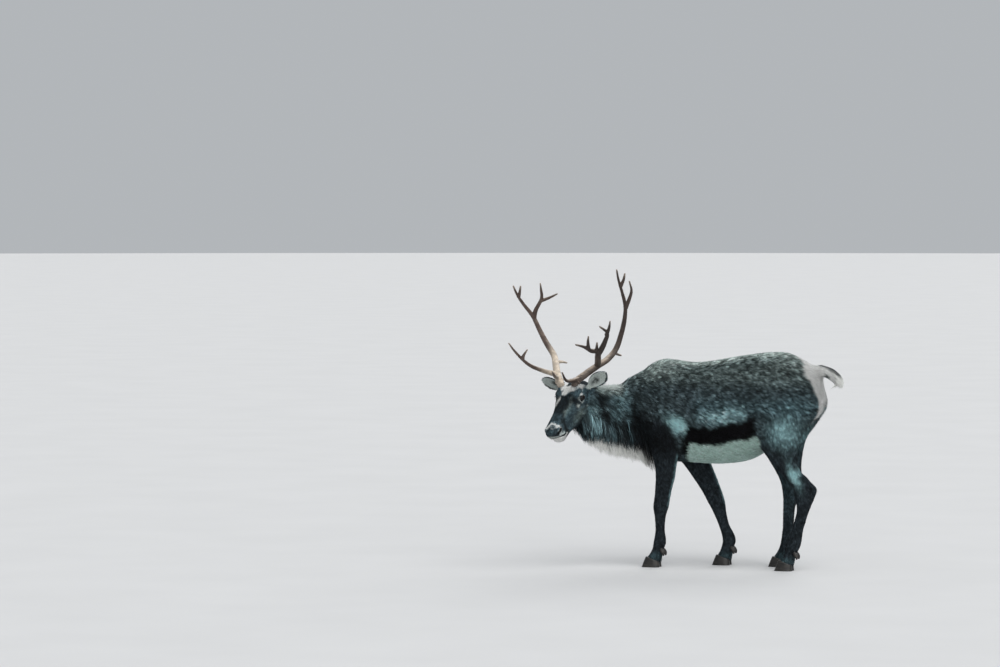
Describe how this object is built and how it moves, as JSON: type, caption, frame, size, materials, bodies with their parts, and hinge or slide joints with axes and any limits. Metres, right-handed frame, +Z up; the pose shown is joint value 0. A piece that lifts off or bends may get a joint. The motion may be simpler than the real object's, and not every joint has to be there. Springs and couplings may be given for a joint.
{
  "type": "reindeer",
  "caption": "Life-size still reindeer bull standing on four hooves, head turned to its left, with branched antlers, pale neck mane and short raised tail.",
  "frame": {"origin": "middle of the base of the whole animal's box, on the floor plane under the soles", "axes": "+X from the nose toward the tail along the body, +Y toward the animal's right side, +Z up"},
  "size_m": [1.8058, 0.8794, 1.6599],
  "materials": {
    "dark_coat": "short dense dark grey-brown autumn coat",
    "pale_coat": "long off-white hair in locks",
    "face_coat": "very short grey-brown hair",
    "antler_bone": "dark brown bone with fine lengthwise grain, paler at the tips",
    "hoof_horn": "black horn, half gloss",
    "eye_wet": "wet near-black eye"
  },
  "bodies": {
    "root": {"antler_left_beam": "antler_bone", "antler_left_bez": "antler_bone", "antler_left_crown": "antler_bone", "antler_left_prong": "antler_bone", "antler_right_beam": "antler_bone", "antler_right_bez": "antler_bone", "antler_right_crown": "antler_bone", "antler_right_prong": "antler_bone", "dewclaw_foreleg_left_inner": "hoof_horn", "dewclaw_foreleg_left_outer": "hoof_horn", "dewclaw_foreleg_right_inner": "hoof_horn", "dewclaw_foreleg_right_outer": "hoof_horn", "dewclaw_hindleg_left_inner": "hoof_horn", "dewclaw_hindleg_left_outer": "hoof_horn", "dewclaw_hindleg_right_inner": "hoof_horn", "dewclaw_hindleg_right_outer": "hoof_horn", "ear_left": "face_coat", "ear_right": "face_coat", "eye_left": "eye_wet", "eye_right": "eye_wet", "foreleg_left": "dark_coat", "foreleg_right": "dark_coat", "head": "face_coat", "hindleg_left": "dark_coat", "hindleg_right": "dark_coat", "hoof_foreleg_left_inner": "hoof_horn", "hoof_foreleg_left_outer": "hoof_horn", "hoof_foreleg_right_inner": "hoof_horn", "hoof_foreleg_right_outer": "hoof_horn", "hoof_hindleg_left_inner": "hoof_horn", "hoof_hindleg_left_outer": "hoof_horn", "hoof_hindleg_right_inner": "hoof_horn", "hoof_hindleg_right_outer": "hoof_horn", "neck": "pale_coat", "tail": "pale_coat", "torso": "dark_coat"}
  },
  "joints": []
}
